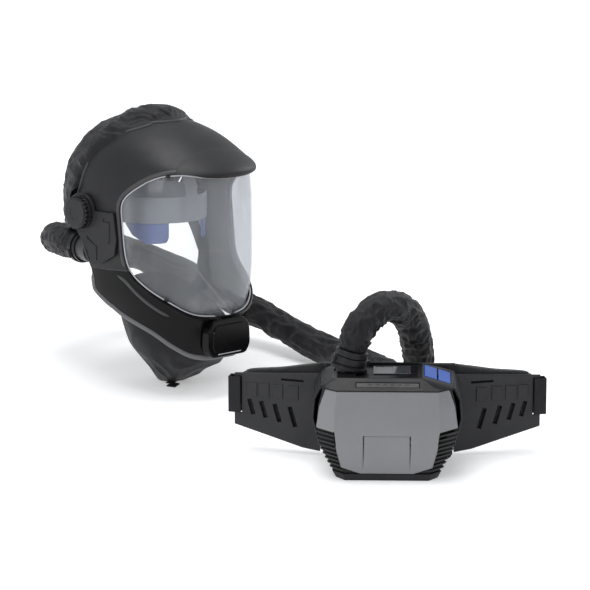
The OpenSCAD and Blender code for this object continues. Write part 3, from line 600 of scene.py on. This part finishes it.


# Both rims take the lightened black, a painted highlight along the edges.
upper_opening = [(x, z) for x, z in shifted(opening_side, -2.8) if z > -70][::-1]
window_rim = bead(round_the_front(upper_opening[::2], [(0, 59.4)]), 5.6, 1.7, samples=420)
piece_from("window_rim", window_rim, "root", rim_painted_highlight, place=on_helmet, crease=60)
rear_line = [(x, z) for x, z in shifted(back_edge, 1.6) if -70 < z < 122]
piece_from("rear_rim", bead(round_the_front(rear_line[::-1]), 3.6, 2.4, samples=300), "root",
           rim_painted_highlight, place=on_helmet, crease=60)

# ---- Jaw guard --------------------------------------------------------------------------------
# A glossier black band clipped under the window, in polished nylon. A raised rib runs along the
# middle of each side.

jaw_gloss = moulded("jaw_gloss", (0.002, 0.002, 0.0025), roughness=0.2, grain=0.06, mottle=0.2,
                    shine=0.14)
jaw_lower = smooth_line([
    (230, -193.8), (180, -191.8), (150, -187.8), (129.5, -173.7), (103.5, -152.5), (59, -131.5),
    (20, -108), (13, -98), (11, -78),
], 60)
jaw_region = [(10, -77.2), (86, -72.2), (120, -60.2), (260, -60.2), (260, -194)] + jaw_lower
jaw_solid = carved(form_solid(0, shell_front, -199, -50, False, rows=60),
                   ("DIFFERENCE", form_solid(-shell_wall, shell_front, -204, -45, False, rows=60)),
                   ("INTERSECT", side_prism(jaw_region)), ("DIFFERENCE", side_prism(opening)))
piece_from("jaw_band", jaw_solid, "root", jaw_gloss, ["chin_guard"], place=on_helmet,
           crease=38)
lower_opening = [(x, z) for x, z in shifted(opening_side, -2.6) if z < -76]
piece_from("jaw_rim", bead(round_the_front(lower_opening[::2], [(0, -142)]), 5, 1.8), "root",
           jaw_gloss, place=on_helmet, crease=60)
# The jaw ribs take the same lightened black, a painted highlight.
rib_line = smooth_line([(64, -80), (78, -87), (98, -104), (120, -121), (136, -132)], 24)
for hand, sign in (("left", 1), ("right", -1)):
    rib = bead([(sign * form_turn(x, z), z) for x, z in rib_line], 5, 2.4, samples=120, taper=10)
    piece_from(f"jaw_rib_{hand}", rib, "root", rim_painted_highlight, place=on_helmet, crease=60)

# ---- Lip trim ---------------------------------------------------------------------------------
# A light-grey rubber extrusion pressed over the lower edge of the jaw guard, holding the hood's
# pouch in place.

lip_grey = moulded("lip_grey", (0.115, 0.115, 0.12), roughness=0.42, grain=0.2)
lip_line = [(x, z) for x, z in shifted(lower_edge, 3.6)[2:] if x < 166]
lip_path = round_the_front(lip_line[::2], [(0, -192)])
piece_from("lip_trim", bead(lip_path, 7.4, 2.4, samples=320), "root", lip_grey,
           ["edge_trim"], place=on_helmet, crease=60)

# ---- Visor ------------------------------------------------------------------------------------
# A clear polycarbonate window, 1.8 mm thick and bent round the face. It sits behind the opening
# on a pale rubber seal, and two small catches on each side hold it.


def clear_sheet(name, tint, base, rise, reflection_streaks):
    """Clear plastic: gloss that grows from base by rise towards a glancing view, and painted reflection
    streaks.
    """
    finish = bpy.data.materials.new(name)
    finish.use_nodes = True
    tree = finish.node_tree
    link = tree.links.new
    gloss = tree.nodes["Principled BSDF"]
    gloss.inputs["Base Color"].default_value = (0.55, 0.57, 0.6, 1)
    gloss.inputs["Roughness"].default_value = 0.07
    gloss.inputs["Specular IOR Level"].default_value = 0.9
    through = node_in(tree, "ShaderNodeBsdfTransparent")
    through.inputs["Color"].default_value = (*tint, 1)
    glance = node_in(tree, "ShaderNodeLayerWeight", Blend=0.32)
    place = node_in(tree, "ShaderNodeTexCoord")
    tall = node_in(tree, "ShaderNodeMapping", Scale=(16.0, 16.0, 1.4))
    link(place.outputs["Object"], tall.inputs["Vector"])
    # Noise stretched upright mixes more of the grey gloss into the sheet in streaks: a painted
    # reflection.
    painted_reflection_streaks = node_in(tree, "ShaderNodeTexNoise", Scale=1.0, Detail=3.0, Roughness=0.5)
    link(tall.outputs["Vector"], painted_reflection_streaks.inputs["Vector"])
    marks = node_in(tree, "ShaderNodeMapRange")
    marks.inputs["From Min"].default_value = 0.35
    marks.inputs["From Max"].default_value = 0.7
    marks.inputs["To Min"].default_value = base
    marks.inputs["To Max"].default_value = base + reflection_streaks
    link(painted_reflection_streaks.outputs["Fac"], marks.inputs["Value"])
    scaled = node_in(tree, "ShaderNodeMath", operation="MULTIPLY_ADD", use_clamp=True)
    scaled.inputs[1].default_value = rise
    link(glance.outputs["Facing"], scaled.inputs[0])
    link(marks.outputs["Result"], scaled.inputs[2])
    both = node_in(tree, "ShaderNodeMixShader")
    link(scaled.outputs["Value"], both.inputs["Fac"])
    link(through.outputs["BSDF"], both.inputs[1])
    link(gloss.outputs["BSDF"], both.inputs[2])
    link(both.outputs["Shader"], tree.nodes["Material Output"].inputs["Surface"])
    return finish


# The last number gives the strength of the painted reflection streaks.
visor_clear = clear_sheet("visor_clear", (0.93, 0.94, 0.95), 0.035, 0.3, 0.2)
visor_outside, visor_inside = -4.4, -6.2
visor_cut = [(240, 66), (188, 66)] + shifted(opening_side, -7) + [(186, -146), (240, -146)]
visor_solid = carved(form_solid(visor_outside, visor_front, -149, 79, False, 180, 70),
                     ("DIFFERENCE", form_solid(visor_inside, visor_front, -154, 84, False, 180, 70)),
                     ("INTERSECT", side_prism(visor_cut)))
piece_from("visor_window", visor_solid, "root", visor_clear, ["visor"],
           place=on_helmet, crease=40)
seal_pale = moulded("seal_pale", (0.5, 0.51, 0.53), roughness=0.35, grain=0.1, mottle=0.05)
seal_line = [(x, z) for x, z in shifted(opening_side, 0.7) if x < 176 and z > -137]
seal_path = round_the_front(seal_line[::-2], [(0, 56.4)])
piece_from("visor_gasket", bead(seal_path, 2.0, 0.9, sink=3.5, samples=420, sides=10), "root",
           seal_pale, ["visor_seal"], place=on_helmet, crease=60)


def block(size, place, soft):
    """A box of three sizes, turned and moved to its place, with its edges rounded."""
    bm = bmesh.new()
    bmesh.ops.create_cube(bm, size=1, matrix=place @ Matrix.Diagonal((*size, 1)))
    bmesh.ops.bevel(bm, geom=bm.edges[:], offset=soft, segments=2, affect="EDGES", profile=0.5,
                    material=-1)
    return bm


for hand, sign in (("left", 1), ("right", -1)):
    for level, (x, z) in enumerate([(139, 60.5), (137, -109)]):
        turn = sign * form_turn(x, z)
        facing = form_normal(turn, z).to_track_quat("Y", "Z").to_matrix().to_4x4()
        catch = block((6.5, 2.4, 4.5), Matrix.Translation(form_point(turn, z, -3.2)) @ facing, 0.6)
        piece_from(f"visor_catch_{hand}_{level}", catch, "root", satin_black,
                   place=on_helmet, crease=35)

# ---- Exhalation cover -------------------------------------------------------------------------
# A black block over the chin with a recessed glossy window and a pale breather strip under it.
# It hides the rubber flap valve.

chin_back, chin_depth, chin_height = 163, 12.4, -141
chin_outline = [(-28, 2), (28, 2), (39, -11), (40, -38), (32, -50), (-32, -50), (-40, -38), (-39, -11)]
bm = bmesh.new()
chin_face = bm.faces.new([bm.verts.new((chin_back, y, z + chin_height)) for y, z in chin_outline])
pulled = bmesh.ops.extrude_face_region(bm, geom=[chin_face])
bmesh.ops.translate(bm, vec=(chin_depth, 0, 0),
                    verts=[v for v in pulled["geom"] if isinstance(v, bmesh.types.BMVert)])
upright = [e for e in bm.edges if abs(e.verts[0].co.x - e.verts[1].co.x) > 5]
bmesh.ops.bevel(bm, geom=upright, offset=5, segments=4, affect="EDGES", profile=0.5, material=-1)
bm.faces.ensure_lookup_table()
front = max(bm.faces, key=lambda f: f.calc_center_median().x)
bmesh.ops.bevel(bm, geom=front.edges[:], offset=1.6, segments=4, affect="EDGES", profile=0.5,
                material=-1)
front = max(bm.faces, key=lambda f: (round(f.calc_center_median().x, 2), f.calc_area()))
bmesh.ops.inset_region(bm, faces=[front], thickness=5.5, depth=0)
bmesh.ops.inset_region(bm, faces=[front], thickness=0.9, depth=-2.2)
bmesh.ops.recalc_face_normals(bm, faces=bm.faces)
piece_from("chin_block", bm, "root", jaw_gloss, ["exhalation_cover"],
           place=on_helmet, crease=35, even=True)
strip = block((2.2, 44, 1.5), Matrix.Translation((174.4, 0, -186.6)), 0.4)
piece_from("breather_strip", strip, "root", seal_pale, place=on_helmet, crease=35)
flap_rubber = moulded("flap_rubber", (0.02, 0.02, 0.021), roughness=0.6)
moulding("chin_valve", "exhalation_valve", "root", "gasket_rubber", flap_rubber, 0.4)

# ---- Side brackets, bolts and knobs -----------------------------------------------------------
# A black plate under each pivot, with two moulded grooves, carries a steel bolt. A ribbed knob
# outside clamps the headgear's arm.

bracket_black = moulded("bracket_black", (0.013, 0.013, 0.0145), roughness=0.42, grain=0.4)
knob_black = moulded("knob_black", (0.014, 0.014, 0.015), roughness=0.32, grain=0.25)
for hand in ("right", "left"):
    moulding(f"bracket_{hand}", f"side_bracket_{hand}", "root", "shell_black", bracket_black, 0.6,
             segments=3)
    moulding(f"bolt_{hand}", f"pivot_bolt_{hand}", "root", "screen_steel", screw_steel, 0.3)
    moulding(f"clamp_knob_{hand}", f"pivot_knob_{hand}", f"knob_{hand}", "knob_black", knob_black, 0.5)

# ---- Air duct ---------------------------------------------------------------------------------
# A smooth dark-grey elbow on the wearer's right carries the air from the tube into the helmet.

duct_grey = moulded("duct_grey", (0.05, 0.05, 0.054), roughness=0.4, grain=0.2)
moulding("duct_elbow", "air_duct", "root", "duct_grey", duct_grey, 0.5)

# ---- Head hood --------------------------------------------------------------------------------
# A sewn cover of coated black nylon over the back of the head, gathered under the shell's rear
# rim and hemmed behind.

hood_nylon = woven("hood_nylon", (0.008, 0.008, 0.0095), (900, 700), roughness=0.5, sheen=0.05)
hood_front = [(0, 114), (0.2, 89), (0.345, 81), (0.52, 69.5), (0.83, 61.5), (1, 60)]
hood_hem = [(0, 214), (0.2, 212), (0.4, 203), (0.7, 192), (1, 189)]
hood_reach = 33


def form_side(x, z):
    """Half the form's width at a place in the side view, or nothing outside it."""
    middle = form_middle(z, shell_front)
    run = looked_up(shell_front, z) - middle if x > middle else middle - looked_up(shell_back, z)
    if z > form_top or abs(x - middle) >= run:
        return None
    n = looked_up(squareness, z)
    return looked_up(shell_half, z) * (1 - (abs(x - middle) / run) ** n) ** (1 / n)


def form_reach(turn):
    """How far the form's middle line lies from the pivot, along a direction in the side view."""
    near, far = 30, 220
    for _ in range(26):
        mid = (near + far) / 2
        if form_side(mid * math.cos(turn), mid * math.sin(turn)) is None:
            far = mid
        else:
            near = mid
    return near


def hood_point(u, v):
    """A place on the hood: across the head with u, and from the shell's rim to the hem with v."""
    share = 1 - abs(2 * u - 1)
    turn = math.radians(looked_up(hood_front, share) * (1 - v) + looked_up(hood_hem, share) * v)
    reach = form_reach(turn)
    out = reach - (reach - hood_reach) * (1 - share) ** 2
    x, z = out * math.cos(turn), out * math.sin(turn)
    y = form_side(x, z) or 0
    spot = Vector((x, math.copysign(y, u - 0.5), z))
    away = (spot - Vector((15, 0, 10))).normalized()
    gathered = math.exp(-v / 0.22)
    hemmed = eased(v, 0.86, 0.97)
    across = u * 9 + 0.6 * noise.noise(spot / 40)
    pleats = noise.noise(Vector((across * 3.4, v * 0.9, 1.7)))
    folds = noise.noise(spot / 34 + Vector((5, 0, v * 1.2)))
    ripples = noise.noise(Vector((across * 1.6, spot.z / 16, spot.x / 30)))
    small = noise.noise(spot / 9)
    crown = eased(share, 0.25, 0.9) * eased(v, 0.0, 0.16) * (1 - eased(v, 0.42, 0.8))
    lift = (2.2 + 3.0 * eased(v, 0, 0.1) + 3.6 * crown + 2.2 * (0.4 + gathered) * (1 - abs(pleats) * 3)
            * eased(v, 0.0, 0.08) * (1 - hemmed) + 2.6 * folds * (1 - hemmed)
            + 1.7 * (1 - 2 * abs(ripples)) * (1 - hemmed) + 0.5 * small)
    lift += 6.5 * math.exp(-((v - 0.17) / 0.09) ** 2) * eased(share, 0.4, 0.95)
    lift -= 8 * math.exp(-((v - 0.5) / 0.17) ** 2) * eased(share, 0.2, 0.8)
    lift += 1.4 * math.exp(-((v - 0.93) / 0.02) ** 2) - 1.6 * eased(v, 0.95, 1)
    return spot + away * (-1.6 + (lift + 1.6) * eased(v, 0.0, 0.06))


hood_bm = bent_grid(200, 160, hood_point, 0.01)
hood = piece_from("hood_cloth", hood_bm, "root", hood_nylon, ["head_hood"],
                  place=on_helmet, crease=180)
cloth_edge = hood.modifiers.new("thickness", "SOLIDIFY")
cloth_edge.thickness, cloth_edge.offset = 0.0009, -1

# ---- Chin pouch -------------------------------------------------------------------------------
# The face seal is a soft pouch of the same nylon. It hangs from the jaw guard's lip with its
# drawstring slack, and folds run down to its tip.

pouch_rings = [
    ((6, -96), (147, -194), 77), ((2, -130), (142, -205), 79), ((9, -165), (130, -214), 71),
    ((23, -195), (116, -222), 55), ((36, -219), (100, -231), 38), ((44, -241), (74, -241), 14),
]


def pouch_point(u, v):
    """A place on the pouch: round it with u, and from its mouth to its tip with v."""
    at = v * (len(pouch_rings) - 1)
    row = [through_points([(back[0], front[0], half) for back, front, half in pouch_rings], v),
           through_points([(back[1], front[1], half) for back, front, half in pouch_rings], v)]
    turn = 2 * math.pi * u
    c = math.copysign(abs(math.cos(turn)) ** 0.9, math.cos(turn))
    s = math.copysign(abs(math.sin(turn)) ** 0.9, math.sin(turn))
    middle = Vector(((row[0].x + row[0].y) / 2, 0, (row[1].x + row[1].y) / 2))
    half = Vector(((row[0].y - row[0].x) / 2, 0, (row[1].y - row[1].x) / 2))
    spot = middle + half * c + Vector((0, row[0].z * s, 0))
    away = (spot - middle).normalized()
    ring = Vector((math.cos(turn), math.sin(turn), 0))
    creases = noise.noise(ring * 2.3 + Vector((0, 0, v * 1.3 + at * 0.2)))
    deep = noise.noise(ring * 1.1 + Vector((3, 1, v * 2.2)))
    drape = noise.noise(ring * 4.2 + Vector((7, 2, v * 3.2)))
    loose = eased(v, 0.03, 0.3) * (1 - 0.55 * eased(v, 0.75, 1))
    lift = loose * (3.2 * (0.5 - 2.2 * abs(creases)) + 4 * deep + 1.4 * drape) - 1.5
    tip = eased(v, 0.78, 1)
    return spot + away * (lift * (1 - tip) + 2.4 * tip) + Vector((0, 0, 1.5 * loose * drape))


pouch_bm = bent_grid(190, 130, pouch_point, 0.01)
pouch_bm.transform(on_helmet)
for vert in pouch_bm.verts:
    vert.co.z = max(vert.co.z, 0.0004)
pouch = piece_from("pouch_cloth", pouch_bm, "root", hood_nylon, ["neck_seal"],
                   place=None, crease=180)
lining = pouch.modifiers.new("thickness", "SOLIDIFY")
lining.thickness, lining.offset = 0.0009, -1
tab_webbing = moulded("tab_webbing", (0.012, 0.012, 0.013), roughness=0.7, grain=0.6)
moulding("drawstring_tab", "pull_tab", "root", "webbing", tab_webbing, 0.4)
stem_place = Matrix.Translation((-297.5, 357, 2.1)) @ Matrix.Rotation(math.radians(-112), 4, "Z")
piece_from("tab_stem", block((20, 11, 1.4), stem_place, 0.5), "root", tab_webbing,
           crease=35)

# ---- Headgear ---------------------------------------------------------------------------------
# A light-grey band round the head with two crown straps hangs from the pivot arms. It has a
# foam sweatband at the brow, soft blue pads at the temples and a ratchet behind.

band_plastic = moulded("band_plastic", (0.34, 0.35, 0.37), roughness=0.42, grain=0.2, mottle=0.05)
moulding("head_band", "headband", "headgear", "band_grey", band_plastic, 0.5)
moulding("crown_bands", "crown_straps", "headgear", "band_grey", band_plastic, 0.4)
moulding("ratchet_case", "ratchet_housing", "headgear", "band_grey", band_plastic, 1.2, segments=3)
moulding("band_arms", "pivot_arms", "headgear", "knob_black", bracket_black, 0.4)
moulding("ratchet_wheel", "ratchet_knob", "size_knob", "knob_black", knob_black, 0.5)
brow_foam = moulded("brow_foam", (0.06, 0.06, 0.065), roughness=0.9, grain=0.9, grain_size=0.0012)
moulding("brow_sweatband", "sweatband", "headgear", "sweatband", brow_foam, 1.2, segments=3)
pad_gel = moulded("pad_gel", (0.16, 0.22, 0.52), roughness=0.35, grain=0.1)
for hand in ("right", "left"):
    moulding(f"temple_cushion_{hand}", f"temple_pad_{hand}", "headgear", "temple_blue",
                       pad_gel, 1.4, segments=3)

# ---- Belt pad and webbing ---------------------------------------------------------------------
# Padding of black knitted mesh over foam lines the whole belt, stitched in channels. Ribbed
# nylon webbing loops through each panel's end and runs behind it to the buckle.

pad_mesh = woven("pad_mesh", (0.012, 0.012, 0.013), (620, 420), roughness=0.7, sheen=0.35, depth=0.8)
wrap = math.radians(14)
pad_half, pad_bend = 193.5, 90


def pad_line(along):
    """The pad's middle line seen from above, its direction, and its lower and upper edges."""
    if abs(along) < pad_bend:
        low, high = 10, 125
        return Vector((along, 62.5, 0)), Vector((1, 0, 0)), low, high
    hand = math.copysign(1, along)
    run = abs(along) - pad_bend
    place = Vector((hand * (88 - 12 * math.sin(wrap) + run * math.cos(wrap)),
                    51 + 12 * math.cos(wrap) + run * math.sin(wrap), 0))
    low = looked_up([(0, 9.5), (24, 12.5), (104, 36)], run)
    high = looked_up([(0, 124.5), (24, 120), (60, 113), (104, 108)], run)
    return place, Vector((math.cos(wrap), hand * math.sin(wrap), 0)), low, high


def pad_point(u, v):
    """A place on the pad: round its section with u, and from its right end to its left with v."""
    along = -pad_half + 2 * pad_half * v
    place, heading, low, high = pad_line(along)
    if pad_bend - 30 < abs(along) < pad_bend + 30:
        place = (pad_line(along - 8)[0] + place * 2 + pad_line(along + 8)[0]) / 4
    outward = Vector((heading.y, -heading.x, 0))
    turn = 2 * math.pi * u
    c, s = math.cos(turn), math.sin(turn)
    ends = math.sqrt(max(1 - (abs(along) / pad_half) ** 26, 0))
    tall = (high - low) / 2 * math.copysign(abs(c) ** 0.22, c) * (0.9 + 0.1 * ends)
    half_depth = 4.3 + 1.6 * eased(abs(along), 84, 104)
    channel = sum(math.exp(-((tall - line) / 2.0) ** 2) for line in (-26, 0, 26))
    depth = half_depth * math.copysign(abs(s) ** 0.5, s) * ends * (1 - 0.3 * channel)
    puff = 0.5 * noise.noise(Vector((along / 26, tall / 22, s * 2)))
    return place + outward * (depth + math.copysign(puff, s)) + Vector((0, 0, (low + high) / 2 + tall))


pad = piece_from("waist_pad", bent_grid(120, 300, pad_point, 0.02), "root", pad_mesh,
                 ["belt_pad"], crease=60)
strap_webbing = moulded("strap_webbing", (0.013, 0.013, 0.014), roughness=0.75, grain=0.9,
                        grain_size=0.0014)
for hand in ("right", "left"):
    moulding(f"strap_{hand}", f"webbing_{hand}", "root", "webbing", strap_webbing, 0.5)
